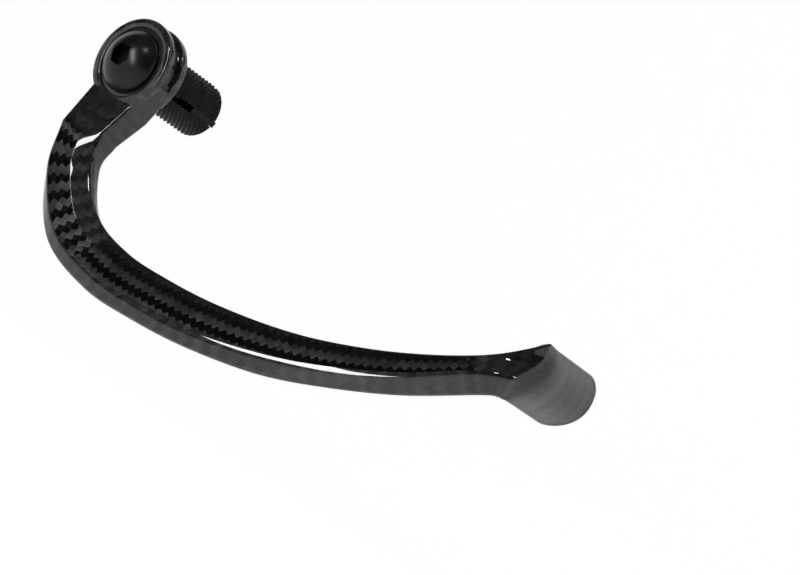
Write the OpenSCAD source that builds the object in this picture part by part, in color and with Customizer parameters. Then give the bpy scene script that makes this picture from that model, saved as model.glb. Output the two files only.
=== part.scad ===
// Brake lever guard for the right-hand end of a motorbike's handlebar.
// A moulded arm hooks forward round the lever's tip. A screw clamps it to a slotted
// sleeve that spreads inside the handlebar.
// The origin is on the bar's axis at the face that meets the bar's end.
// +X points out of the bar's end, +Y ahead of the motorbike and +Z up.

/* [Boss] */
// Diameter of the arm's round boss
boss_d = 26; // [24:0.2:30]
// Thickness of the boss along the bar's axis
boss_t = 8.6; // [8:0.2:10]
// Thickness of each flange beside the groove round the boss
flange_t = 2.4; // [2:0.1:2.6]
// Depth of the groove round the boss
groove_depth = 2.1; // [1.2:0.1:2.6]
// Diameter of the shallow recess that the screw's head sits in
recess_d = 20.4; // [19.6:0.2:21.6]
// Depth of that recess
recess_depth = 0.8; // [0.4:0.1:1.2]
// Diameter of the screw's hole through the boss
boss_bore_d = 8.4; // [8.3:0.1:9]

/* [Arm] */
// Reach of the arm ahead of the bar's axis
arm_reach = 156; // [145:1:165]
// Depth of the arm's lowest stretch below the bar's axis
arm_drop = 47; // [44:0.5:50]
// Width of the front face where the arm leaves the boss
root_w = 15; // [13:0.5:17]
// Width of the front face along the lowest stretch
face_w = 12.4; // [11:0.2:13.4]
// Width of the front face just before the paddle
tip_w = 7.4; // [6.4:0.2:9]
// Depth of the arm behind its front face along the lowest stretch
arm_depth = 10; // [8.5:0.5:10.5]
// Height of the crease that stands on the front face at the elbow
crease_h = 1.2; // [0.4:0.2:1.6]
// Width of the bright bevel between the front face and the outer wall
bevel_w = 2; // [1.2:0.2:2.6]
// Radius on the arm's other edges
edge_r = 1; // [0.6:0.1:1.4]

/* [Paddle] */
// Length of the paddle, from the crease to its end
paddle_l = 26; // [24:0.5:34]
// Height of the paddle
paddle_h = 17.4; // [15:0.2:18]
// Bulge of the paddle's front face
paddle_bulge = 3.6; // [2.6:0.2:4.4]
// Thickness of the paddle's long edges
paddle_edge_t = 2; // [1.6:0.2:2.6]
// Radius of the paddle's upper end corner
upper_corner_r = 3; // [2:0.5:4]
// Radius of the paddle's lower end corner
lower_corner_r = 10; // [7:0.5:11]

/* [Clamp screw] */
// Diameter of the screw's thread
screw_d = 8; // [7.4:0.1:8]
// Diameter of the screw's domed head
head_d = 18.4; // [16:0.2:18.6]
// Height of the domed head
head_h = 6; // [5:0.1:6.6]
// Height of the straight edge below the head's dome
head_edge_h = 1.2; // [0.6:0.1:1.6]
// Size of the hexagon socket across its flats
socket_af = 6; // [5:0.5:6]
// Depth of the hexagon socket
socket_depth = 3.6; // [2.6:0.2:3.8]

/* [Expander] */
// Outside diameter of the slotted sleeve
sleeve_d = 16.5; // [16:0.1:17]
// Length of the slotted sleeve
sleeve_l = 24.4; // [22:0.2:27]
// Diameter of the sleeve's bore, which clears the screw
sleeve_bore_d = 8.2; // [8.1:0.1:8.6]
// Diameter of the conical seat for the nut at its inner end
seat_d = 10.4; // [10:0.1:11]
// Length of the smooth collar next to the boss
collar_l = 4; // [3:0.5:5]
// Width of each slot in the sleeve
slot_w = 2; // [1.6:0.1:2.2]
// Number of slots round the sleeve
slots = 4; // [2:1:6]
// Turn of the first slot below the forward direction, in degrees
slot_turn = 9; // [8:0.5:10]
// Length of the cone nut that spreads the sleeve
nut_l = 10; // [8:0.5:12]
// Length of the cone nut left standing out of the sleeve
nut_proud = 1; // [0.5:0.1:2]
// Growth of the cone nut's radius from its inner end to its outer end
cone_flare = 1; // [0.5:0.1:1.2]
// Depth of the cone nut's keys below the outside of the sleeve
key_inset = 0.6; // [0.3:0.1:1]
// Clearance between pieces that slide past each other
slide_gap = 0.1; // [0.05:0.01:0.2]

/* [Hidden] */

boss_r = boss_d / 2;
groove_r = boss_r - groove_depth;
groove_w = boss_t - 2 * flange_t;
head_seat_x = boss_t - recess_depth;
round_fn = 96;

// Room left in the sleeve ahead of the nut, so that it can pull further in
seat_relief = 0.6;

// Rings between two stations of the arm, and points on each rounded edge
rings_each = 6;
edge_points = 4;

// Stations along the middle of the front face, from the boss down and round the elbow,
// forward along the lowest stretch and up to the paddle. Each holds the place outboard of
// the boss's face in mm, forward as a share of the reach and up as a share of the drop,
// and the degrees that the face has turned from outboard towards the inside of the hook.
stations = [
    [0, 0.02, 0, 0],
    [0, 0.01, -0.23, 0],
    [4.8, 0.026, -0.465, 16],
    [5.2, 0.057, -0.694, 21],
    [5.8, 0.149, -0.93, 29],
    [5.5, 0.265, -1, 31],
    [4.9, 0.384, -0.975, 30],
    [3.2, 0.494, -0.922, 27],
    [0.5, 0.616, -0.82, 24],
    [-2, 0.718, -0.694, 22],
    [-5.7, 0.827, -0.507, 24],
    [-10.2, 0.929, -0.27, 30],
];
last = len(stations) - 1;

// Setback of the arm's root from the boss's inner face
root_back = 0.5;

// How each size changes from station to station: [station, size]
widths = [[0, root_w + 3], [1, root_w + 2], [2, root_w - 2], [3, face_w], [5, face_w],
    [7, face_w - 1], [9, face_w - 3], [11, tip_w]];
wall_depths = [[0, boss_t - root_back], [1, boss_t - root_back], [2, 6.6], [3, 4], [4, 2.6],
    [6, 1.8], [7, 1.8], [9, 3], [11, 5.6]];
wall_leans = [[0, 0.6], [2, 0.7], [4, 2.4], [6, 3.4], [8, 3.6], [11, 1.7]];
heel_ins = [[0, 1], [1, 1.1], [2, 2.4], [4, 0.6], [6, -1.3], [8, -2], [11, -2.2]];
keel_places = [[0, 0], [2, -2], [4, -4], [6, -4.7], [8, -4], [11, -2]];
keel_depths = [[0, boss_t - root_back / 2], [1, boss_t - root_back / 2], [2, 7.4], [3, 7.8],
    [4, arm_depth - 0.4], [5, arm_depth], [7, arm_depth], [9, arm_depth - 1], [11, arm_depth - 1.5]];
crease_heights = [[0, 0], [2, 0], [3, crease_h], [4, crease_h * 0.6], [5, 0], [11, 0]];

// How far the crease runs ahead of its section, so that the kink's line is a shallow V
crease_lags = [[0, 0], [1, 0], [2, 3.4], [3, 1.4], [4, 0], [11, 0]];

function unit(v) = v / norm(v);

function place(i) =
    let (s = stations[max(0, min(last, i))])
    [boss_t + s[0], s[1] * arm_reach, s[2] * arm_drop];

// Run of the arm at a station, from its neighbours on both sides
function run(i) = unit(place(i + 1) - place(i - 1));

// Direction that the front face looks in, square to the run
function facing(i) =
    let (turn = stations[i][3], t = run(i), outboard = unit([1, 0, 0] - t[0] * t))
    cos(turn) * outboard + sin(turn) * cross(outboard, t);

// Corners of the section at a station, round from the inner edge of the front face:
// inner edge, crease, outer edge, middle and foot of the outer wall, keel and heel
function corners(i) =
    let (
        p = place(i),
        n = facing(i),
        s = cross(n, run(i)),
        half = lookup(i, widths) / 2,
        wall = lookup(i, wall_depths),
        rim = p - half * s,
        foot = p - (half + lookup(i, wall_leans)) * s - wall * n
    )
    [
        p + half * s,
        p + 0.1 * half * s + lookup(i, crease_heights) * n + lookup(i, crease_lags) * run(i),
        rim,
        (rim + foot) / 2,
        foot,
        p + lookup(i, keel_places) * s - lookup(i, keel_depths) * n,
        p + (half + lookup(i, heel_ins)) * s - wall * n,
    ];

// The paddle runs inboard, along -X. Its top edge starts at the crease.
crease_inboard = 20.4;
crease_x = boss_t - crease_inboard;
paddle_end_x = crease_x - paddle_l + 1;
paddle_top = 0.6;
paddle_y = arm_reach - 2.6;

// Lean of the paddle back towards its end, and of its face back towards its lower edge
setback = 0.04;
paddle_lean = 0.05;
function set_y(x) = paddle_y - setback * max(0, crease_x - x);

// Front face of the paddle at a height: an arc that bulges forward
chord = paddle_h / 2;
bulge_r = (chord * chord + paddle_bulge * paddle_bulge) / (2 * paddle_bulge);
function front_y(x, z) =
    let (up = z - (paddle_top - chord))
    set_y(x) - paddle_lean * (paddle_top - z) + sqrt(bulge_r * bulge_r - up * up) - (bulge_r - paddle_bulge);
function back_y(x, z) = set_y(x) - paddle_edge_t - paddle_lean * (paddle_top - z);

// Height of the paddle's top and bottom edges near its rounded end
function corner_drop(x, r) =
    let (d = max(0, r - (x - paddle_end_x)))
    r - sqrt(max(0, r * r - d * d));
function top_z(x) = paddle_top - corner_drop(x, upper_corner_r);
function bottom_z(x) = paddle_top - paddle_h + corner_drop(x, lower_corner_r);

// Section of the paddle: the front arc, split like the corners of the arm's section
function paddle_corners(x, slant) =
    let (
        zt = top_z(x),
        zb = bottom_z(x),
        h = zt - zb,
        z = [zt, zt - 0.25 * h, zt - 0.5 * h, zt - 0.75 * h, zb]
    )
    [
        [x, front_y(x, z[0]), z[0]],
        [x + slant * 0.25, front_y(x, z[1]), z[1]],
        [x + slant * 0.6, front_y(x, z[2]), z[2]],
        [x + slant * 0.85, front_y(x, z[3]), z[3]],
        [x + slant, front_y(x, z[4]), z[4]],
        [x + slant, back_y(x, z[4]), z[4] + 0.3],
        [x, back_y(x, z[0]), z[0] - 0.3],
    ];

// The crease where the front face ends and the paddle's face begins
crease_ring = [
    [crease_x + 3.5, front_y(crease_x, paddle_top) + 0.6, paddle_top + 0.4],
    [crease_x + 2.5, arm_reach - 1.6, paddle_top - 5],
    [crease_x + 8.6, arm_reach - 2, paddle_top - 12],
    [crease_x + 7, arm_reach - 3, paddle_top - 14.6],
    [crease_x + 4.6, arm_reach - 4.6, paddle_top - 17.8],
    [crease_x + 2, arm_reach - 7, paddle_top - 16.4],
    [crease_x + 2.5, arm_reach - 5.4, paddle_top - 1.6],
];

// The boss's own face, the ramp out to the kink at the elbow, then the arm from there to the crease
bend = 1;
kink = 2;
root_corners = [for (i = [0:bend]) corners(i)];
ramp_corners = [for (i = [bend:kink]) corners(i)];
arm_corners = [for (i = [kink:last]) corners(i), crease_ring];
paddle_stations = [
    crease_ring,
    paddle_corners(crease_x - 3, 5),
    paddle_corners(crease_x - 10, 1),
    paddle_corners(paddle_end_x + lower_corner_r, 0),
];
end_steps = 6;
end_angles = [for (k = [1:end_steps]) 90 * k / end_steps];

// Smooth curve through a list of places or values; u counts them from 0
function smooth(list, u) =
    let (
        n = len(list),
        i = min(floor(u), n - 2),
        t = u - i,
        b = list[i],
        c = list[i + 1],
        a = i > 0 ? list[i - 1] : 2 * b - c,
        d = i < n - 2 ? list[i + 2] : 2 * c - b
    )
    b + 0.5 * t * (c - a + t * (2 * a - 5 * b + 4 * c - d + t * (3 * b - a - 3 * c + d)));

function rings_through(rings) =
    [for (k = [0:(len(rings) - 1) * rings_each])
        [for (j = [0:len(rings[0]) - 1]) smooth([for (r = rings) r[j]], k / rings_each)]];

// One rounded corner: points on the curve that cuts off the corner b between a and c
function rounded(a, b, c, r) =
    let (
        ra = min(r, norm(a - b) * 0.45),
        rc = min(r, norm(c - b) * 0.45),
        from = b + ra * unit(a - b),
        to = b + rc * unit(c - b)
    )
    [for (k = [0:edge_points - 1])
        let (t = k / (edge_points - 1))
        (1 - t) * (1 - t) * from + 2 * t * (1 - t) * b + t * t * to];

function rounded_ring(ring, radii) =
    let (n = len(ring))
    [for (j = [0:n - 1], p = rounded(ring[(j + n - 1) % n], ring[j], ring[(j + 1) % n], radii[j])) p];

arm_radii = [edge_r, 4, bevel_w, 3, edge_r, 3, edge_r];
paddle_radii = [0.6, 3, 3, 3, 0.6, 0.6, 0.6];

function without_first(list) = [for (k = [1:len(list) - 1]) list[k]];

root_rings = [for (r = rings_through(root_corners)) rounded_ring(r, arm_radii)];
ramp_rings = [for (r = without_first(rings_through(ramp_corners))) rounded_ring(r, arm_radii)];
arm_rings = [for (r = without_first(rings_through(arm_corners))) rounded_ring(r, arm_radii)];
paddle_rings = [for (r = without_first(rings_through(paddle_stations)))
    rounded_ring(r, paddle_radii)];
end_rings = [for (a = end_angles)
    rounded_ring(paddle_corners(paddle_end_x + lower_corner_r * (1 - sin(a)), 0), paddle_radii)];
all_rings = concat(root_rings, ramp_rings, arm_rings, paddle_rings, end_rings);

// Closed solid through a list of rings that have the same number of points
module skin(rings) {
    n = len(rings[0]);
    m = len(rings);
    sides = [for (k = [0:m - 2], j = [0:n - 1])
        [k * n + j, (k + 1) * n + j, (k + 1) * n + (j + 1) % n, k * n + (j + 1) % n]];
    start = [for (j = [0:n - 1]) j];
    end = [for (j = [0:n - 1]) m * n - 1 - j];
    polyhedron([for (r = rings, p = r) p], concat(sides, [start, end]), convexity = 10);
}

// Turned shapes are drawn with the bar's axis up the page, then laid along +X
module along_bar() {
    rotate([0, 90, 0]) rotate([0, 0, 90]) children();
}

module boss() {
    groove_c = groove_r + groove_w / 2;
    along_bar() rotate_extrude($fn = round_fn) difference() {
        square([boss_r, boss_t]);
        translate([groove_c, boss_t / 2]) circle(d = groove_w, $fn = round_fn);
        translate([groove_c, flange_t]) square([boss_r, groove_w]);
    }
}

module guard_arm() {
    color([0.09, 0.09, 0.1]) difference() {
        union() {
            boss();
            skin(all_rings);
        }
        along_bar() translate([0, 0, -1]) cylinder(d = boss_bore_d, h = boss_t + 2, $fn = round_fn);
        along_bar() translate([0, 0, head_seat_x])
            cylinder(d = recess_d, h = recess_depth + 1, $fn = round_fn);
    }
}

module clamp_screw() {
    shank_l = head_seat_x + sleeve_l + nut_proud - 1;
    dome_h = head_h - head_edge_h;
    dome_r = (head_d * head_d / 4 + dome_h * dome_h) / (2 * dome_h);
    color([0.05, 0.05, 0.055]) along_bar() difference() {
        union() {
            translate([0, 0, head_seat_x - shank_l])
                cylinder(d = screw_d, h = shank_l + 0.5, $fn = round_fn);
            translate([0, 0, head_seat_x]) intersection() {
                cylinder(d = head_d, h = head_h, $fn = round_fn);
                translate([0, 0, head_h - dome_r]) sphere(r = dome_r, $fn = round_fn);
            }
        }
        translate([0, 0, head_seat_x + head_h - socket_depth])
            cylinder(d = socket_af / cos(30), h = socket_depth + 1, $fn = 6);
    }
}

// Cone that widens towards the sleeve's end, with its diameters grown by extra
module cone(extra) {
    cylinder(d1 = seat_d + 2 * cone_flare + extra, d2 = seat_d + extra, h = nut_l, $fn = round_fn);
}

module expander_sleeve() {
    slot_l = sleeve_l - collar_l;
    // The round wall closes midway between two slots, clear of both
    half_step = 180 / slots;
    color([0.07, 0.07, 0.075]) along_bar() rotate([0, 0, -slot_turn - half_step]) difference() {
        translate([0, 0, -sleeve_l]) cylinder(d = sleeve_d, h = sleeve_l, $fn = round_fn);
        translate([0, 0, -sleeve_l - 1]) cylinder(d = sleeve_bore_d, h = sleeve_l + 2, $fn = round_fn);
        translate([0, 0, -sleeve_l]) cone(0);
        translate([0, 0, nut_l - sleeve_l - 0.01]) cylinder(d = seat_d, h = seat_relief, $fn = round_fn);
        for (k = [0:slots - 1])
            rotate([0, 0, half_step + k * 360 / slots]) translate([0, -slot_w / 2, -sleeve_l - 1])
                cube([sleeve_d, slot_w, slot_l + 1]);
    }
}

module cone_nut() {
    outer_end = -sleeve_l - nut_proud;
    key_w = slot_w - 2 * slide_gap;
    color([0.06, 0.06, 0.065]) along_bar() rotate([0, 0, -slot_turn]) difference() {
        union() {
            translate([0, 0, -sleeve_l]) cone(-2 * slide_gap);
            translate([0, 0, outer_end])
                cylinder(d = seat_d + 2 * cone_flare - 2 * slide_gap, h = nut_proud, $fn = round_fn);
            for (k = [0:slots - 1])
                rotate([0, 0, k * 360 / slots]) translate([0, -key_w / 2, outer_end])
                    cube([sleeve_d / 2 - key_inset, key_w, nut_l + nut_proud]);
        }
        translate([0, 0, outer_end - 1]) cylinder(d = screw_d, h = nut_l + nut_proud + 2, $fn = round_fn);
    }
}

guard_arm();
clamp_screw();
expander_sleeve();
cone_nut();
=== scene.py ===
import math

import bmesh
import bpy
import numpy as np
from mathutils import Matrix, Vector


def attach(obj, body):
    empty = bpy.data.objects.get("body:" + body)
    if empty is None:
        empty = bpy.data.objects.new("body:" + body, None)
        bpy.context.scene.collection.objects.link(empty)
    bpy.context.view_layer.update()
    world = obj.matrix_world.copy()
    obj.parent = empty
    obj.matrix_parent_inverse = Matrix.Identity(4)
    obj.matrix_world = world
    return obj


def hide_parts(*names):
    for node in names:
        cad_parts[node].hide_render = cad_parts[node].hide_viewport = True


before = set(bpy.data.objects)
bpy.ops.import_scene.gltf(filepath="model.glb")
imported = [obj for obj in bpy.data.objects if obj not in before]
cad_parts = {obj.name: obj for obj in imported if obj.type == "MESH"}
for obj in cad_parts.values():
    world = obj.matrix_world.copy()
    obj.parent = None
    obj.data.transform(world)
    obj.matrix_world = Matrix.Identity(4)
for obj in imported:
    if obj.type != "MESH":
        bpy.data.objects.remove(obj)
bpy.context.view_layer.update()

# Guard arm
# The guard is one moulding of twill carbon under a thick gloss lacquer. Its round boss is grooved
# like a pulley; its arm kinks at the elbow, twists as it hooks forward and ends in a bulged paddle.
# It is lofted from stations along the middle of the front face, then joined to the turned boss.
MM = 0.001
boss_radius, boss_thick, flange_thick, groove_depth = 13.0, 8.6, 2.4, 2.1
recess_radius, recess_depth, screw_hole_radius = 10.2, 0.8, 4.2
arm_reach, arm_drop, arm_depth = 156.0, 47.0, 10.0
root_width, face_width, tip_width, crease_height, crease_across = 15.0, 12.4, 7.4, 1.2, 0.1
paddle_length, paddle_height, paddle_bulge, paddle_edge = 26.0, 17.4, 3.6, 2.0
upper_corner, lower_corner, root_back = 3.0, 10.0, 0.5
rings_each, points_each_edge, points_each_flat = 14, 7, 5

# Each station is its step outboard of the boss's face, its shares of the reach and of the drop,
# and the face's turn in degrees. The tables after it run over the stations by their number.
stations = [
    (0, 0.02, 0, 0),
    (0, 0.01, -0.23, 0),
    (4.8, 0.026, -0.465, 16),
    (5.2, 0.057, -0.694, 21),
    (5.8, 0.149, -0.93, 29),
    (5.5, 0.265, -1, 31),
    (4.9, 0.384, -0.975, 30),
    (3.2, 0.494, -0.922, 27),
    (0.5, 0.616, -0.82, 24),
    (-2, 0.718, -0.694, 22),
    (-5.7, 0.827, -0.507, 24),
    (-10.2, 0.929, -0.27, 30),
]
bend, kink = 1, 2
widths = ((0, 1, 2, 3, 5, 7, 9, 11),
          (root_width + 3, root_width + 2, root_width - 2, face_width, face_width, face_width - 1,
           face_width - 3, tip_width))
wall_depths = ((0, 1, 2, 3, 4, 6, 7, 9, 11),
               (boss_thick - root_back, boss_thick - root_back, 6.6, 4, 2.6, 1.8, 1.8, 3, 5.6))
wall_leans = ((0, 2, 4, 6, 8, 11), (0.6, 0.7, 2.4, 3.4, 3.6, 1.7))
heel_ins = ((0, 1, 2, 4, 6, 8, 11), (1, 1.1, 2.4, 0.6, -1.3, -2, -2.2))
keel_places = ((0, 2, 4, 6, 8, 11), (0, -2, -4, -4.7, -4, -2))
keel_depths = ((0, 1, 2, 3, 4, 5, 7, 9, 11),
               (boss_thick - root_back / 2, boss_thick - root_back / 2, 7.4, 7.8, arm_depth - 0.4,
                arm_depth, arm_depth, arm_depth - 1, arm_depth - 1.5))
crease_heights = ((0, 2, 3, 4, 5, 11), (0, 0, crease_height, crease_height * 0.6, 0, 0))
crease_lags = ((0, 1, 2, 3, 4, 11), (0, 0, 3.4, 1.4, 0, 0))


def unit(vector):
    return vector / np.linalg.norm(vector)


def station_place(i):
    outboard, forward, up, _ = stations[max(0, min(len(stations) - 1, i))]
    return np.array([boss_thick + outboard, forward * arm_reach, up * arm_drop])


def size_at(i, table):
    return float(np.interp(i, table[0], table[1]))


def arm_corners(i):
    """The arm's seven corners at a station, from the inner edge over the face and round the back."""
    place = station_place(i)
    run = unit(station_place(i + 1) - station_place(i - 1))
    outboard = unit(np.array([1.0, 0, 0]) - run[0] * run)
    turn = math.radians(stations[i][3])
    face = math.cos(turn) * outboard + math.sin(turn) * np.cross(outboard, run)
    side = np.cross(face, run)
    half = size_at(i, widths) / 2
    wall = size_at(i, wall_depths)
    rim = place - half * side
    foot = place - (half + size_at(i, wall_leans)) * side - wall * face
    return [
        place + half * side,
        place + crease_across * half * side + size_at(i, crease_heights) * face
        + size_at(i, crease_lags) * run,
        rim,
        (rim + foot) / 2,
        foot,
        place + size_at(i, keel_places) * side - size_at(i, keel_depths) * face,
        place + (half + size_at(i, heel_ins)) * side - wall * face,
    ]


crease_inboard, crease_overlap = 20.4, 1
crease_x = boss_thick - crease_inboard
paddle_end_x = crease_x - paddle_length + crease_overlap
paddle_top, paddle_y, setback, paddle_lean = 0.6, arm_reach - 2.6, 0.04, 0.05
chord = paddle_height / 2
bulge_radius = (chord * chord + paddle_bulge * paddle_bulge) / (2 * paddle_bulge)


def paddle_front(x, z):
    up = z - (paddle_top - chord)
    lean = setback * max(0, crease_x - x) + paddle_lean * (paddle_top - z)
    return paddle_y - lean + math.sqrt(bulge_radius ** 2 - up * up) - (bulge_radius - paddle_bulge)


def paddle_back(x, z):
    return paddle_y - setback * max(0, crease_x - x) - paddle_edge - paddle_lean * (paddle_top - z)


def corner_drop(x, radius):
    inside = max(0, radius - (x - paddle_end_x))
    return radius - math.sqrt(max(0, radius * radius - inside * inside))


def paddle_corners(x, slant):
    """The same seven corners across the paddle, five of them down its bulged face."""
    top = paddle_top - corner_drop(x, upper_corner)
    bottom = paddle_top - paddle_height + corner_drop(x, lower_corner)
    down = [top - share * (top - bottom) for share in (0, 0.25, 0.5, 0.75, 1)]
    shift = [slant * share for share in (0, 0.25, 0.6, 0.85, 1)]
    front = [(x + s, paddle_front(x, z), z) for s, z in zip(shift, down)]
    return front + [(x + slant, paddle_back(x, bottom), bottom + 0.3), (x, paddle_back(x, top), top - 0.3)]


crease_ring = [
    (crease_x + 3.5, paddle_front(crease_x, paddle_top) + 0.6, paddle_top + 0.4),
    (crease_x + 2.5, arm_reach - 1.6, paddle_top - 5),
    (crease_x + 8.6, arm_reach - 2, paddle_top - 12),
    (crease_x + 7, arm_reach - 3, paddle_top - 14.6),
    (crease_x + 4.6, arm_reach - 4.6, paddle_top - 17.8),
    (crease_x + 2, arm_reach - 7, paddle_top - 16.4),
    (crease_x + 2.5, arm_reach - 5.4, paddle_top - 1.6),
]


def rings_through(rings):
    """Rings along smooth curves that pass through the given ones."""
    rings = np.array(rings, dtype=float)
    count = len(rings)
    padded = np.concatenate([[2 * rings[0] - rings[1]], rings, [2 * rings[-1] - rings[-2]]])
    out = []
    for i in range(count - 1):
        a, b, c, d = padded[i:i + 4]
        for t in np.arange(rings_each) / rings_each:
            out.append(b + 0.5 * t * (c - a + t * (2 * a - 5 * b + 4 * c - d + t * (3 * b - a - 3 * c + d))))
    out.append(rings[-1])
    return out


def rounded_ring(ring, radii):
    """A ring with its corners rounded, always with the same number of points."""
    count = len(ring)
    rounds = []
    for j in range(count):
        before, corner, after = ring[j - 1], ring[j], ring[(j + 1) % count]
        to_before, to_after = before - corner, after - corner
        start = corner + min(radii[j], 0.45 * np.linalg.norm(to_before)) * unit(to_before)
        end = corner + min(radii[j], 0.45 * np.linalg.norm(to_after)) * unit(to_after)
        t = np.linspace(0, 1, points_each_edge)[:, None]
        rounds.append((1 - t) ** 2 * start + 2 * t * (1 - t) * corner + t * t * end)
    out = []
    for j in range(count):
        out.extend(rounds[j])
        start, end = rounds[j][-1], rounds[(j + 1) % count][0]
        for t in np.arange(1, points_each_flat) / points_each_flat:
            out.append(start + t * (end - start))
    return np.array(out)


def new_piece(name, points, faces):
    mesh = bpy.data.meshes.new(name)
    mesh.from_pydata([tuple(p) for p in points], [], faces)
    mesh.update()
    piece = bpy.data.objects.new(name, mesh)
    bpy.context.scene.collection.objects.link(piece)
    return piece


def smooth(piece, sharp_from):
    piece.data.shade_smooth()
    piece.data.set_sharp_from_angle(angle=math.radians(sharp_from))


bevels = ((0, 3, 5, 6.5, 11), (0.8, 0.5, 0.8, 2.2, 2.2))
crease_rounds = ((0, 1.9, 2.1, 2.8, 3, 3.2, 5.5, 7, 11), (4, 4, 0.1, 0.1, 2.2, 0.1, 0.1, 4, 4))
soft_edge, full_round, paddle_rim = 1, 3, 0.6
paddle_radii = (paddle_rim, full_round, full_round, full_round, paddle_rim, paddle_rim, paddle_rim)


def rounded_arm(rings, first_station):
    rounded = []
    for k, ring in enumerate(rings):
        i = first_station + k / rings_each
        radii = (soft_edge, size_at(i, crease_rounds), size_at(i, bevels), full_round,
                 soft_edge, full_round, soft_edge)
        rounded.append(rounded_ring(ring, radii))
    return rounded


root = rounded_arm(rings_through([arm_corners(i) for i in range(bend + 1)]), 0)
ramp = rounded_arm(rings_through([arm_corners(i) for i in range(bend, kink + 1)]), bend)[1:]
reach = [arm_corners(i) for i in range(kink, len(stations))] + [crease_ring]
reach = rounded_arm(rings_through(reach), kink)[1:]
paddle = [crease_ring, paddle_corners(crease_x - 3, 5), paddle_corners(crease_x - 10, 1),
          paddle_corners(paddle_end_x + lower_corner, 0)]
paddle = [rounded_ring(r, paddle_radii) for r in rings_through(paddle)[1:]]
end = []
for a in np.radians(90 * np.arange(1, rings_each + 1) / rings_each):
    end_x = paddle_end_x + lower_corner * (1 - math.sin(a))
    end.append(rounded_ring(np.array(paddle_corners(end_x, 0)), paddle_radii))
loft = np.array(root + ramp + reach + paddle + end)

# The weave's own map runs along the arm from ring to ring, and round it from the middle of the face.
# A second map says how the twill's bands run at each place and how strongly they show, with painted shade
# dimming them towards the inner edge of the reach's face.
per_corner = points_each_edge + points_each_flat - 1
front_middle = per_corner + points_each_edge // 2
around = np.linalg.norm(np.roll(loft, -1, axis=1) - loft, axis=2)
across = np.concatenate([np.zeros((len(loft), 1)), np.cumsum(around, axis=1)], axis=1)
across = across - across[:, front_middle:front_middle + 1]
spine = loft[:, front_middle]
along = np.concatenate([[0], np.cumsum(np.linalg.norm(np.diff(spine, axis=0), axis=1))])

ring_count, ring_points = loft.shape[:2]
front_span = range(points_each_edge // 2, 2 * per_corner + 1)
elbow_end, arm_end = 62.0, 178.0
front_contrast = ((0, 18, 24, 50, 70, arm_end, arm_end + 10), (0.2, 0.2, 0.3, 0.4, 1, 0.8, 0.25))
crease_point = per_corner + points_each_edge // 2
# Painted shade: across the reach's face the light tows fade towards the inner edge. The weave shows bright
# only along the bevel side, where the strip lamp's sheen falls.
painted_sheen_fade = ((-5, -1, 2), (0.1, 0.45, 1.0))
strip_contrast = ((0, 22, 25, elbow_end), (0.2, 0.2, 1, 1))
wall_contrast, boss_contrast = 0.25, 0.5
wall_zone, elbow_zone, reach_zone = 0.0, 0.4, 1.0
arm_faces, arm_map, arm_zones = [], [], []
for k in range(ring_count - 1):
    for j in range(ring_points):
        n = (j + 1) % ring_points
        contrast, zone = wall_contrast, wall_zone
        if j in front_span:
            contrast, zone = size_at(along[k], front_contrast), elbow_zone
        if j in front_span and j >= crease_point and along[k] < elbow_end:
            contrast = size_at(along[k], strip_contrast)
        # Painted shade across the reach's face: darker towards its inner edge, away from the bevel's sheen.
        if j in front_span and elbow_end < along[k] < arm_end:
            contrast, zone = contrast * size_at(across[k, j], painted_sheen_fade), reach_zone
        if along[k] > arm_end:
            zone = elbow_zone
        arm_zones += [(zone, contrast)] * 4
        arm_faces.append((k * ring_points + j, k * ring_points + n,
                          (k + 1) * ring_points + n, (k + 1) * ring_points + j))
        arm_map.append([(along[k], across[k, j]), (along[k], across[k, j + 1]),
                        (along[k + 1], across[k + 1, j + 1]), (along[k + 1], across[k + 1, j])])
arm_faces.append(tuple(range(ring_points - 1, -1, -1)))
arm_map.append([(along[0], across[0, j]) for j in range(ring_points - 1, -1, -1)])
last_ring = (ring_count - 1) * ring_points
arm_faces.append(tuple(last_ring + j for j in range(ring_points)))
arm_map.append([(along[-1], across[-1, j]) for j in range(ring_points)])
guard = new_piece("guard", loft.reshape(-1, 3) * MM, arm_faces)
weave_map = guard.data.uv_layers.new(name="weave")
weave_map.data.foreach_set("uv", np.array([c for face in arm_map for c in face], dtype=np.float32).ravel())
zone_map = guard.data.uv_layers.new(name="zones")
arm_zones += [(wall_zone, wall_contrast)] * 2 * ring_points
zone_map.data.foreach_set("uv", np.array(arm_zones, dtype=np.float32).ravel())


same_place = 1e-8


def clean_shell(mesh):
    """Merges points that coincide, drops loose ones and turns the faces outwards."""
    shell = bmesh.new()
    shell.from_mesh(mesh)
    bmesh.ops.remove_doubles(shell, verts=shell.verts, dist=same_place)
    loose = [vert for vert in shell.verts if not vert.link_faces]
    bmesh.ops.delete(shell, geom=loose, context="VERTS")
    bmesh.ops.recalc_face_normals(shell, faces=shell.faces)
    shell.to_mesh(mesh)
    shell.free()


def turned(name, profile, sides):
    """A turned solid about the bar's axis, from a profile of (along the axis, radius) in mm."""
    points, rows, faces = [], [], []
    for x, radius in profile:
        if radius < 1e-6:
            rows.append([len(points)] * sides)
            points.append((x * MM, 0, 0))
            continue
        rows.append(list(range(len(points), len(points) + sides)))
        for a in 2 * math.pi * np.arange(sides) / sides:
            points.append((x * MM, radius * math.cos(a) * MM, radius * math.sin(a) * MM))
    for low, high in zip(rows, rows[1:]):
        for j in range(sides):
            n = (j + 1) % sides
            face = []
            for v in (low[j], low[n], high[n], high[j]):
                if v not in face:
                    face.append(v)
            if len(face) > 2:
                faces.append(tuple(face))
    piece = new_piece(name, points, faces)
    clean_shell(piece.data)
    return piece


def arc(x, radius, size, start, stop, steps=6):
    """Profile points round an arc about (x, radius), from start to stop in degrees."""
    turns = np.radians(np.linspace(start, stop, steps))
    return [(x + size * math.cos(a), radius + size * math.sin(a)) for a in turns]


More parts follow.
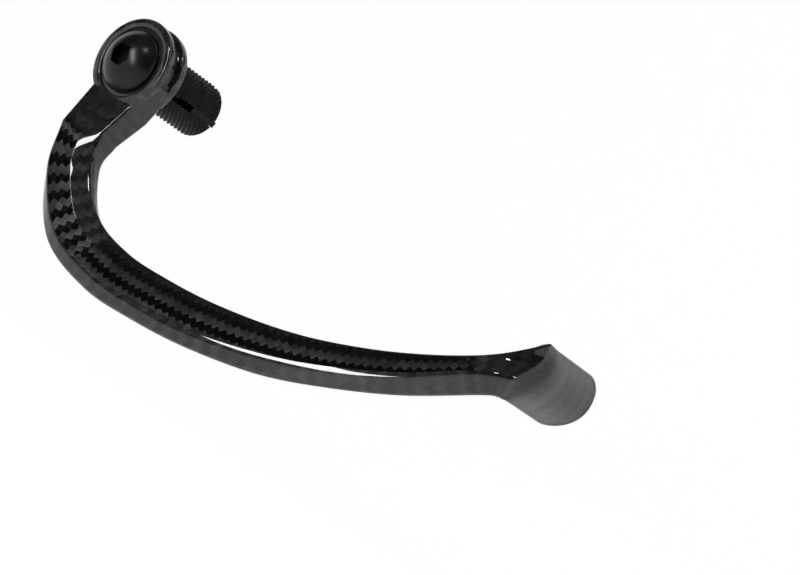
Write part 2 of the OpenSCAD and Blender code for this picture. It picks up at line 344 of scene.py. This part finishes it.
groove_width = boss_thick - 2 * flange_thick
groove_centre = boss_radius - groove_depth + groove_width / 2
back_rim, groove_rim, front_rim, hub_radius, round_sides = 0.5, 0.4, 0.8, 6, 192
boss_profile = [(0, 0), (0, hub_radius)]
boss_profile += arc(back_rim, boss_radius - back_rim, back_rim, 180, 90)
boss_profile += arc(flange_thick - groove_rim, boss_radius - groove_rim, groove_rim, 90, 20)
boss_profile += arc(boss_thick / 2, groove_centre, groove_width / 2, 185, 355, steps=24)
boss_profile += arc(boss_thick - flange_thick + groove_rim, boss_radius - groove_rim, groove_rim, 160, 90)
boss_profile += arc(boss_thick - front_rim, boss_radius - front_rim, front_rim, 90, 0)
boss_profile += [(boss_thick, hub_radius), (boss_thick, 0)]
boss = turned("boss", boss_profile, round_sides)
boss_map = boss.data.uv_layers.new(name="weave")
boss_zones = boss.data.uv_layers.new(name="zones")
boss_zones.data.foreach_set("uv", [wall_zone, boss_contrast] * len(boss.data.loops))
flat_side = 0.6
for face in boss.data.polygons:
    turns = [math.atan2(boss.data.vertices[v].co.z, boss.data.vertices[v].co.y) for v in face.vertices]
    base_turn = turns[0]
    for loop, v, turn in zip(face.loop_indices, face.vertices, turns):
        co = boss.data.vertices[v].co / MM
        if abs(face.normal.x) > flat_side:
            boss_map.data[loop].uv = (-co.z, -co.y)
        else:
            if turn - base_turn > math.pi:
                turn -= 2 * math.pi
            if base_turn - turn > math.pi:
                turn += 2 * math.pi
            boss_map.data[loop].uv = (turn * boss_radius, co.x)
seat_x = boss_thick - recess_depth
recess_lip, past_back, past_front = 0.7, 2, 1
bore_profile = [(-past_back, 0), (-past_back, screw_hole_radius), (seat_x, screw_hole_radius),
                (seat_x, recess_radius)]
bore_profile += arc(boss_thick - recess_lip, recess_radius + recess_lip, recess_lip, 270, 360)
bore_profile += [(boss_thick + past_front, recess_radius + recess_lip), (boss_thick + past_front, 0)]
bore_cut = turned("bore_cut", bore_profile, round_sides)


def combine(piece, tools):
    """Joins each tool to the piece or cuts it out, and leaves a plain mesh."""
    for operation, tool in tools:
        cut = piece.modifiers.new(operation, "BOOLEAN")
        cut.operation = operation
        cut.solver = "EXACT"
        cut.object = tool
    seen = piece.evaluated_get(bpy.context.evaluated_depsgraph_get())
    mesh = bpy.data.meshes.new_from_object(seen)
    piece.modifiers.clear()
    piece.data = mesh
    clean_shell(mesh)
    for _, tool in tools:
        bpy.data.objects.remove(tool)


combine(guard, [("UNION", boss), ("DIFFERENCE", bore_cut)])
turned_edge = 28
smooth(guard, turned_edge)
kink_ring, on_kink = loft[kink * rings_each, crease_point:3 * per_corner] * MM, 1e-5
for edge in guard.data.edges:
    ends = [np.array(guard.data.vertices[v].co) for v in edge.vertices]
    if all(np.min(np.linalg.norm(kink_ring - end, axis=1)) < on_kink for end in ends):
        edge.use_edge_sharp = True


class Wiring:
    """Short calls for the nodes of one material or group."""

    def __init__(self, tree):
        self.tree = tree

    def node(self, kind, values=None, **settings):
        made = self.tree.nodes.new(kind)
        for key, value in settings.items():
            setattr(made, key, value)
        for key, value in (values or {}).items():
            if isinstance(value, bpy.types.NodeSocket):
                self.tree.links.new(value, made.inputs[key])
            else:
                made.inputs[key].default_value = value
        return made

    def math(self, operation, *values):
        return self.node("ShaderNodeMath", dict(enumerate(values)), operation=operation).outputs[0]

    def blend(self, amount, low, high):
        made = self.node("ShaderNodeMix", {0: amount, 6: low, 7: high}, data_type="RGBA")
        return made.outputs[2]

    def range(self, value, low, high, to_low, to_high):
        return self.node("ShaderNodeMapRange", {0: value, 1: low, 2: high, 3: to_low, 4: to_high}).outputs[0]


def new_material(name):
    material = bpy.data.materials.new(name)
    material.use_nodes = True
    material.node_tree.nodes.clear()
    wiring = Wiring(material.node_tree)
    shader = wiring.node("ShaderNodeBsdfPrincipled")
    wiring.node("ShaderNodeOutputMaterial", {"Surface": shader.outputs[0]})
    return material, wiring, shader


# Each tow is 1.73 mm wide and lies at 45 degrees to the arm, so the twill's bands run straight across
# it at the elbow, and along it where the cloth is laid the other way round.
tow_width = 1.73
dark_tow, light_tow = (0.004, 0.004, 0.0045, 1), (0.06, 0.06, 0.062, 1)
dark_roughness, light_roughness = 0.75, (0.36, 0.5)
carbon, w, carbon_shader = new_material("lacquered_twill_carbon")
own_map = w.node("ShaderNodeUVMap", uv_map="weave")
flat = w.node("ShaderNodeSeparateXYZ", {0: own_map.outputs[0]})
u, v = flat.outputs[0], flat.outputs[1]
wander = w.node("ShaderNodeTexNoise", {"Vector": own_map.outputs[0], "Scale": 0.12, "Detail": 1.0})
wander_by = w.range(wander.outputs["Fac"], 0, 1, -0.6, 0.6)
u = w.math("ADD", u, wander_by)
slant_size = tow_width * math.sqrt(2)
p = w.math("DIVIDE", w.math("ADD", u, v), slant_size)
q = w.math("DIVIDE", w.math("SUBTRACT", u, v), slant_size)
zones = w.node("ShaderNodeSeparateXYZ", {0: w.node("ShaderNodeUVMap", uv_map="zones").outputs[0]})
sense = w.range(zones.outputs[0], 0.4, 0.6, 1.0, -1.0)
cell_sum = w.math("ADD", w.math("FLOOR", p), w.math("MULTIPLY", w.math("FLOOR", q), sense))
over = w.math("LESS_THAN", w.math("FLOORED_MODULO", cell_sum, 4.0), 2.0)
p_in, q_in = w.math("FRACT", p), w.math("FRACT", q)


def hump(place):
    return w.math("SINE", w.math("MULTIPLY", place, math.pi))


crown = w.node("ShaderNodeMix", {0: over, 2: hump(q_in), 3: hump(p_in)}).outputs[0]
fibres_p = w.node("ShaderNodeCombineXYZ", {0: w.math("MULTIPLY", p, 0.5), 1: w.math("MULTIPLY", q, 14.0)})
fibres_q = w.node("ShaderNodeCombineXYZ", {0: w.math("MULTIPLY", p, 14.0), 1: w.math("MULTIPLY", q, 0.5)})
streak_p = w.node("ShaderNodeTexNoise", {"Vector": fibres_p.outputs[0], "Scale": 1.0, "Detail": 2.0})
streak_q = w.node("ShaderNodeTexNoise", {"Vector": fibres_q.outputs[0], "Scale": 1.0, "Detail": 2.0})
streak = w.node("ShaderNodeMix", {0: over, 2: streak_q.outputs["Fac"], 3: streak_p.outputs["Fac"]}).outputs[0]
tow_place = w.node("ShaderNodeCombineXYZ", {0: w.math("FLOOR", p), 1: w.math("FLOOR", q), 2: over})
tow_chance = w.node("ShaderNodeTexWhiteNoise", {"Vector": tow_place.outputs[0]}).outputs[0]
shade = w.math("MULTIPLY", w.range(streak, 0.3, 0.7, 0.6, 1.35), w.range(tow_chance, 0, 1, 0.55, 1.15))
mid_share = w.range(zones.outputs[0], 0, 1, 0.5, 0.12)
lit_share = w.math("MULTIPLY_ADD", w.math("SUBTRACT", over, mid_share), zones.outputs[1], mid_share)
tow_colour = w.blend(lit_share, dark_tow, light_tow)
shaded = w.node("ShaderNodeVectorMath", {0: tow_colour, "Scale": shade}, operation="SCALE")
w.tree.links.new(shaded.outputs[0], carbon_shader.inputs["Base Color"])
streaky = w.range(streak, 0.2, 0.8, *light_roughness)
tow_roughness = w.node("ShaderNodeMix", {0: lit_share, 2: dark_roughness, 3: streaky}).outputs[0]
w.tree.links.new(tow_roughness, carbon_shader.inputs["Roughness"])
tow_bump = w.node("ShaderNodeBump", {"Strength": 0.35, "Distance": 0.0001, "Height": crown})
w.tree.links.new(tow_bump.outputs[0], carbon_shader.inputs["Normal"])
carbon_shader.inputs["Metallic"].default_value = 0.6
carbon_shader.inputs["Specular IOR Level"].default_value = 0.05
carbon_shader.inputs["Coat Weight"].default_value = 1.0
carbon_shader.inputs["Coat Roughness"].default_value = 0.03
carbon_shader.inputs["Coat IOR"].default_value = 1.5
guard.data.materials.clear()
guard.data.materials.append(carbon)
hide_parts("guard_arm")
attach(guard, "root")

# Clamp screw
# A dome-headed steel screw, finished satin black, sits in the boss's recess and pulls the cone nut.
# It is turned, and its hexagon socket is cut last.
head_radius, head_height, head_edge = 9.2, 6.0, 1.2
socket_flats, socket_depth, screw_radius = 6.0, 3.6, 4.0
sleeve_length, edge_break, socket_chamfer = 24.4, 0.3, 0.35
dome_height = head_height - head_edge
dome_radius = (head_radius ** 2 + dome_height ** 2) / (2 * dome_height)
dome_centre = seat_x + head_height - dome_radius
dome_rise, edge_soften, socket_flare = 0.35, 0.15, 1.1
edge_angle = math.degrees(math.acos((seat_x + head_edge + dome_rise - dome_centre) / dome_radius))
screw_profile = [(-sleeve_length, 0), (-sleeve_length, screw_radius),
                 (seat_x, screw_radius), (seat_x, head_radius - edge_break)]
screw_profile += arc(seat_x + edge_break, head_radius - edge_break, edge_break, 180, 90)
screw_profile += [(seat_x + head_edge - edge_soften, head_radius)]
screw_profile += arc(dome_centre, 0, dome_radius, edge_angle, 0, steps=40)
screw = turned("screw", screw_profile, round_sides)
across_corners = socket_flats / math.cos(math.radians(30))
socket_points = []
for x, grow in ((seat_x + head_height - socket_depth, 0), (seat_x + head_height - socket_chamfer, 0),
                (seat_x + head_height + past_front, socket_flare)):
    for k in range(6):
        a = math.radians(60 * k)
        r = across_corners / 2 + grow
        socket_points.append((x * MM, r * math.cos(a) * MM, r * math.sin(a) * MM))
socket_faces = [tuple(range(5, -1, -1)), tuple(range(12, 18))]
for level in (0, 6):
    for k in range(6):
        n = (k + 1) % 6
        socket_faces.append((level + k, level + n, level + 6 + n, level + 6 + k))
socket_cut = new_piece("socket_cut", socket_points, socket_faces)
clean_shell(socket_cut.data)
combine(screw, [("DIFFERENCE", socket_cut)])
smooth(screw, turned_edge)

# Both black finishes share this fine grain, with broader patches of tone under it
grain_depth = 0.00003
metal_grain = bpy.data.node_groups.new("metal_grain", "ShaderNodeTree")
metal_grain.interface.new_socket("Place", in_out="INPUT", socket_type="NodeSocketVector")
for label in ("Grain Scale", "Grain Detail", "Patch Scale", "Patch Detail", "Bump Strength"):
    metal_grain.interface.new_socket(label, in_out="INPUT", socket_type="NodeSocketFloat")
for label, kind in (("Grain", "Float"), ("Patches", "Float"), ("Normal", "Vector")):
    metal_grain.interface.new_socket(label, in_out="OUTPUT", socket_type="NodeSocket" + kind)
g = Wiring(metal_grain)
g_in = g.node("NodeGroupInput").outputs
grain, patches = [g.node("ShaderNodeTexNoise", {"Vector": g_in["Place"], "Scale": g_in[label + " Scale"],
                                                "Detail": g_in[label + " Detail"]}).outputs["Fac"]
                  for label in ("Grain", "Patch")]
bump = g.node("ShaderNodeBump", {"Strength": g_in["Bump Strength"], "Distance": grain_depth,
                                 "Height": grain})
g.node("NodeGroupOutput", {"Grain": grain, "Patches": patches, "Normal": bump.outputs[0]})

satin, w, satin_shader = new_material("satin_black")
spot = w.node("ShaderNodeTexCoord").outputs["Object"]
grained = w.node("ShaderNodeGroup", {"Place": spot, "Grain Scale": 2600.0, "Grain Detail": 3.0,
                                     "Patch Scale": 180.0, "Patch Detail": 3.0, "Bump Strength": 0.15},
                 node_tree=metal_grain).outputs
tone = w.blend(grained["Patches"], (0.005, 0.005, 0.0055, 1), (0.009, 0.009, 0.0098, 1))
satin_shader.inputs["Specular IOR Level"].default_value = 0.22
w.tree.links.new(tone, satin_shader.inputs["Base Color"])
w.tree.links.new(w.range(grained["Patches"], 0.3, 0.7, 0.22, 0.28), satin_shader.inputs["Roughness"])
w.tree.links.new(grained["Normal"], satin_shader.inputs["Normal"])
screw.data.materials.clear()
screw.data.materials.append(satin)
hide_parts("clamp_screw")
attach(screw, "root")

# Expander sleeve
# The black anodised aluminium sleeve goes inside the handlebar. It is diamond knurled behind a plain
# collar and slotted from its end, so that the nut's cone spreads it.
sleeve_radius, sleeve_bore, collar_length, slot_width = 8.25, 4.1, 4.0, 2.0
slot_count, slot_turn, nut_length, cone_flare, nut_seat, seat_relief = 4, 9.0, 10.0, 1.0, 5.2, 0.6
land_columns, slot_columns = 60, 6
shoulder_rows, collar_rows = 96, 6

# Rows of points along the sleeve, closer together at both ends
row_x = [-sleeve_length, -sleeve_length + 0.1, -sleeve_length + 0.3]
row_x += list(np.linspace(-sleeve_length + 0.5, -collar_length, shoulder_rows))
shoulder = len(row_x) - 1
row_x += list(np.linspace(-collar_length, -0.3, collar_rows))[1:] + [-0.1, 0.0]
row_x = np.array(row_x)


def sleeve_columns(radius):
    """The turns of the points round the sleeve at this radius, and which of them cross a slot."""
    half = math.asin(slot_width / 2 / radius)
    step = 2 * math.pi / slot_count
    turns, in_slot = [], []
    for k in range(slot_count):
        centre = k * step - math.radians(slot_turn)
        turns += list(np.linspace(centre - half, centre + half, slot_columns + 1))[:-1]
        in_slot += [True] * slot_columns
        turns += list(np.linspace(centre + half, centre + step - half, land_columns + 1))[:-1]
        in_slot += [False] * land_columns
    return np.array(turns), in_slot


outer_turns, in_slot = sleeve_columns(sleeve_radius)
inner_turns, _ = sleeve_columns(nut_seat)
end_chamfer, collar_chamfer = 0.35, 0.25
outer_r = sleeve_radius - np.clip(end_chamfer - (row_x + sleeve_length), 0, end_chamfer)
outer_r = outer_r - np.clip(collar_chamfer + row_x, 0, collar_chamfer)
seat_end, step_run = nut_length + seat_relief - sleeve_length, 0.01
inner_r = np.interp(row_x, [-sleeve_length, -sleeve_length + nut_length, seat_end, seat_end + step_run],
                    [nut_seat + cone_flare, nut_seat, nut_seat, sleeve_bore])
columns = len(outer_turns)
rows = len(row_x)
sleeve_points = []
for radii, turns in ((outer_r, outer_turns), (inner_r, inner_turns)):
    for i in range(rows):
        for a in turns:
            sleeve_points.append((row_x[i] * MM, radii[i] * math.cos(a) * MM, radii[i] * math.sin(a) * MM))
inner_start = rows * columns
sleeve_faces = []
for j in range(columns):
    n = (j + 1) % columns
    first = shoulder if in_slot[j] else 0
    for i in range(first, rows - 1):
        a, b, c, d = i * columns + j, i * columns + n, (i + 1) * columns + n, (i + 1) * columns + j
        sleeve_faces.append((a, b, c, d))
        sleeve_faces.append((inner_start + a, inner_start + d, inner_start + c, inner_start + b))
    a, b = first * columns + j, first * columns + n
    sleeve_faces.append((b, a, inner_start + a, inner_start + b))
    a, b = (rows - 1) * columns + j, (rows - 1) * columns + n
    sleeve_faces.append((a, b, inner_start + b, inner_start + a))
    if in_slot[j] != in_slot[n]:
        for i in range(shoulder):
            a, b = i * columns + n, (i + 1) * columns + n
            sleeve_faces.append((a, b, inner_start + b, inner_start + a))
sleeve = new_piece("sleeve", sleeve_points, sleeve_faces)
is_knurled, plain_rows = np.zeros(len(sleeve_points), dtype=np.float32), 2
for i in range(plain_rows, shoulder - plain_rows):
    is_knurled[i * columns:(i + 1) * columns] = 1.0
knurled = sleeve.data.attributes.new("knurled", "FLOAT", "POINT")
knurled.data.foreach_set("value", is_knurled)

diamonds_around, knurl_depth, flat_height = 30.0, 0.6, 0.8
knurl = bpy.data.node_groups.new("diamond_knurl", "GeometryNodeTree")
knurl.interface.new_socket("Geometry", in_out="INPUT", socket_type="NodeSocketGeometry")
for label, size in (("Radius", sleeve_radius * MM), ("Diamonds Around", diamonds_around),
                    ("Depth", knurl_depth * MM)):
    knurl.interface.new_socket(label, in_out="INPUT", socket_type="NodeSocketFloat").default_value = size
knurl.interface.new_socket("Finish", in_out="INPUT", socket_type="NodeSocketMaterial")
knurl.interface.new_socket("Geometry", in_out="OUTPUT", socket_type="NodeSocketGeometry")
g = Wiring(knurl)
g_in, g_out = g.node("NodeGroupInput"), g.node("NodeGroupOutput")
at = g.node("ShaderNodeSeparateXYZ", {0: g.node("GeometryNodeInputPosition").outputs[0]})
turn = g.math("ARCTAN2", at.outputs[2], at.outputs[1])
share = g.math("DIVIDE", turn, 2 * math.pi)
round_count = g.math("MULTIPLY", share, g_in.outputs["Diamonds Around"])
girth = g.math("MULTIPLY", g_in.outputs["Radius"], 2 * math.pi)
along_count = g.math("MULTIPLY", g.math("DIVIDE", at.outputs[0], girth), g_in.outputs["Diamonds Around"])
ridges = []
for operation in ("ADD", "SUBTRACT"):
    cross = g.math(operation, round_count, along_count)
    ridges.append(g.math("PINGPONG", cross, 0.5))
height = g.math("MULTIPLY", g.math("MINIMUM", ridges[0], ridges[1]), 2.0)
flat_top = g.math("MINIMUM", height, flat_height)
sink = g.math("MULTIPLY", g.math("SUBTRACT", flat_height, flat_top), g_in.outputs["Depth"])
mask = g.node("GeometryNodeInputNamedAttribute", {"Name": "knurled"}, data_type="FLOAT")
sink = g.math("MULTIPLY", sink, mask.outputs["Attribute"])
inward = g.math("MULTIPLY", sink, -1.0)
offset = g.node("ShaderNodeCombineXYZ", {1: g.math("MULTIPLY", g.math("COSINE", turn), inward),
                                         2: g.math("MULTIPLY", g.math("SINE", turn), inward)})
moved = g.node("GeometryNodeSetPosition", {"Geometry": g_in.outputs["Geometry"],
                                           "Offset": offset.outputs[0]})
real = g.node("GeometryNodeRealizeInstances", {"Geometry": moved.outputs[0]})
dressed = g.node("GeometryNodeSetMaterial", {"Geometry": real.outputs[0],
                                             "Material": g_in.outputs["Finish"]})
knurl.links.new(dressed.outputs[0], g_out.inputs["Geometry"])

anodised, w, anodised_shader = new_material("black_anodised")
spot = w.node("ShaderNodeTexCoord").outputs["Object"]
grained = w.node("ShaderNodeGroup", {"Place": spot, "Grain Scale": 900.0, "Grain Detail": 4.0,
                                     "Patch Scale": 120.0, "Patch Detail": 2.0, "Bump Strength": 0.2},
                 node_tree=metal_grain).outputs
tone = w.blend(grained["Patches"], (0.006, 0.006, 0.0062, 1), (0.011, 0.011, 0.0115, 1))
worn = w.range(grained["Grain"], 0.62, 0.78, 0.0, 0.25)
tone = w.blend(worn, tone, (0.03, 0.03, 0.031, 1))
anodised_shader.inputs["Specular IOR Level"].default_value = 0.12
w.tree.links.new(tone, anodised_shader.inputs["Base Color"])
w.tree.links.new(w.range(grained["Patches"], 0.3, 0.7, 0.3, 0.42), anodised_shader.inputs["Roughness"])
w.tree.links.new(grained["Normal"], anodised_shader.inputs["Normal"])

modifier = sleeve.modifiers.new("knurl", "NODES")
modifier.node_group = knurl
for socket in knurl.interface.items_tree:
    if socket.in_out == "INPUT" and socket.name == "Finish":
        modifier[socket.identifier] = anodised
seen = sleeve.evaluated_get(bpy.context.evaluated_depsgraph_get())
made = bpy.data.meshes.new_from_object(seen)
sleeve.modifiers.clear()
sleeve.data = made
clean_shell(sleeve.data)
smooth(sleeve, sharp_from=35)
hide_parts("expander_sleeve")
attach(sleeve, "root")

# Cone nut
# The black anodised nut's cone pulls into the sleeve's end. Its four keys run in the slots and keep
# it from turning. The frame's own solid has the right shape and takes the sleeve's finish.
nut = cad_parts["cone_nut"]
nut.data.materials.clear()
nut.data.materials.append(anodised)

# Floor and backdrop
# A plain white floor runs to a round white wall that stands behind the guard on every side.
paper, w, paper_shader = new_material("white_paper")
path = w.node("ShaderNodeLightPath")
camera_or_gloss = w.math("MAXIMUM", path.outputs["Is Camera Ray"], path.outputs["Is Glossy Ray"])
plain_seen = w.math("MAXIMUM", camera_or_gloss, path.outputs["Is Transmission Ray"])
seen_white = 0.85
paper_shader.inputs["Base Color"].default_value = (0.86, 0.86, 0.86, 1)
paper_shader.inputs["Roughness"].default_value = 0.9
paper_shader.inputs["Specular IOR Level"].default_value = 0.0
paper_shader.inputs["Emission Color"].default_value = (1, 1, 1, 1)
w.tree.links.new(w.math("MULTIPLY", plain_seen, seen_white), paper_shader.inputs["Emission Strength"])
stage_centre = Vector((-0.01, 0.075, 0))
floor_z, wall_top, wall_radius, sweep = -0.16, 1.2, 1.25, 0.12
stage_profile = [(floor_z, 0.0), (floor_z, 0.3), (floor_z, wall_radius - sweep)]
for a in np.radians(np.linspace(10, 90, 9)):
    stage_profile.append((floor_z + sweep * (1 - math.cos(a)), wall_radius - sweep + sweep * math.sin(a)))
stage_profile.append((wall_top, wall_radius))
stage_points, stage_faces, sides = [], [], 96
for z, radius in stage_profile:
    for a in 2 * math.pi * np.arange(sides) / sides:
        stage_points.append((stage_centre.x + radius * math.cos(a),
                             stage_centre.y + radius * math.sin(a), z))
for i in range(len(stage_profile) - 1):
    for j in range(sides):
        n = (j + 1) % sides
        stage_faces.append((i * sides + j, i * sides + n, (i + 1) * sides + n, (i + 1) * sides + j))
backdrop = new_piece("backdrop", stage_points, stage_faces)
smooth(backdrop, sharp_from=60)
backdrop.data.materials.append(paper)

# Black flag
# A curved black screen hangs behind the camera, out of its sight, so that the lacquer mirrors the dark
# side of a studio and the weave shows under it. The arm's outer wall mirrors the white below its edge.
black_cloth, w, cloth_shader = new_material("black_cloth")
cloth_shader.inputs["Base Color"].default_value = (0.012, 0.012, 0.012, 1)
cloth_shader.inputs["Roughness"].default_value = 0.9
flag_radius, flag_bottom, flag_top, flag_start, flag_stop, flag_steps = 1.15, 0.03, 1.12, -88, 62, 32
flag_points, flag_faces = [], []
for z in (flag_bottom, flag_top):
    for a in np.radians(np.linspace(flag_start, flag_stop, flag_steps)):
        flag_points.append((stage_centre.x + flag_radius * math.cos(a),
                            stage_centre.y + flag_radius * math.sin(a), z))
for j in range(flag_steps - 1):
    flag_faces.append((j, j + 1, flag_steps + j + 1, flag_steps + j))
flag = new_piece("flag", flag_points, flag_faces)
flag.data.materials.append(black_cloth)
flag.visible_camera = False

# Studio light
# One narrow strip of light, close by on the outboard side, draws the bright bevel. A broad weak
# softbox hangs overhead, and a small lamp puts the glint on the screw's head.


def softbox(name, start, end, width, lit, radiance):
    """A strip of light from start to end, turned so that it faces the place lit."""
    start, end, lit = Vector(start), Vector(end), Vector(lit)
    lamp = bpy.data.lights.new(name, "AREA")
    lamp.shape = "RECTANGLE"
    lamp.size, lamp.size_y = (end - start).length, width
    lamp.energy = radiance * math.pi * lamp.size * lamp.size_y
    holder = bpy.data.objects.new(name, lamp)
    lengthwise = (end - start).normalized()
    back = (start + end) / 2 - lit
    back = (back - back.dot(lengthwise) * lengthwise).normalized()
    sideways = back.cross(lengthwise)
    turned_axes = Matrix((lengthwise, sideways, back)).transposed().to_4x4()
    holder.matrix_world = Matrix.Translation((start + end) / 2) @ turned_axes
    holder.visible_camera = False
    bpy.context.scene.collection.objects.link(holder)


arm_middle = (0.007, 0.115, -0.035)
softbox("side_strip", (0.203, -0.065, 0.103), (0.307, 0.053, -0.004), 0.03, arm_middle, 22)
softbox("top_softbox", (-0.6, 0.25, 0.9), (0.1, 0.25, 0.9), 0.7, arm_middle, 1.0)
softbox("head_glint", (0.313, 0.051, 0.377), (0.363, 0.051, 0.377), 0.05, (0.014, 0, 0), 40)
world = bpy.data.worlds.new("studio")
bpy.context.scene.world = world
world.use_nodes = True
world.node_tree.nodes["Background"].inputs[0].default_value = (0.12, 0.12, 0.12, 1)

# Camera
# It stands level with the hook on the outboard side, rolled so that the arm sweeps across the frame.
camera_data = bpy.data.cameras.new("camera")
camera_data.sensor_width = 36
camera_data.lens = 112.81
camera = bpy.data.objects.new("camera", camera_data)
right = Vector((-0.4927, 0.6559, 0.5719))
ahead = Vector((-0.7984, -0.6021, 0.0027))
ahead = (ahead - ahead.dot(right) / right.length_squared * right).normalized()
right.normalize()
above = right.cross(ahead)
camera_axes = Matrix((right, above, -ahead)).transposed().to_4x4()
camera.matrix_world = Matrix.Translation((0.4962, 0.4873, -0.0105)) @ camera_axes
bpy.context.scene.collection.objects.link(camera)
bpy.context.scene.camera = camera
bpy.context.scene.view_settings.view_transform = "Standard"
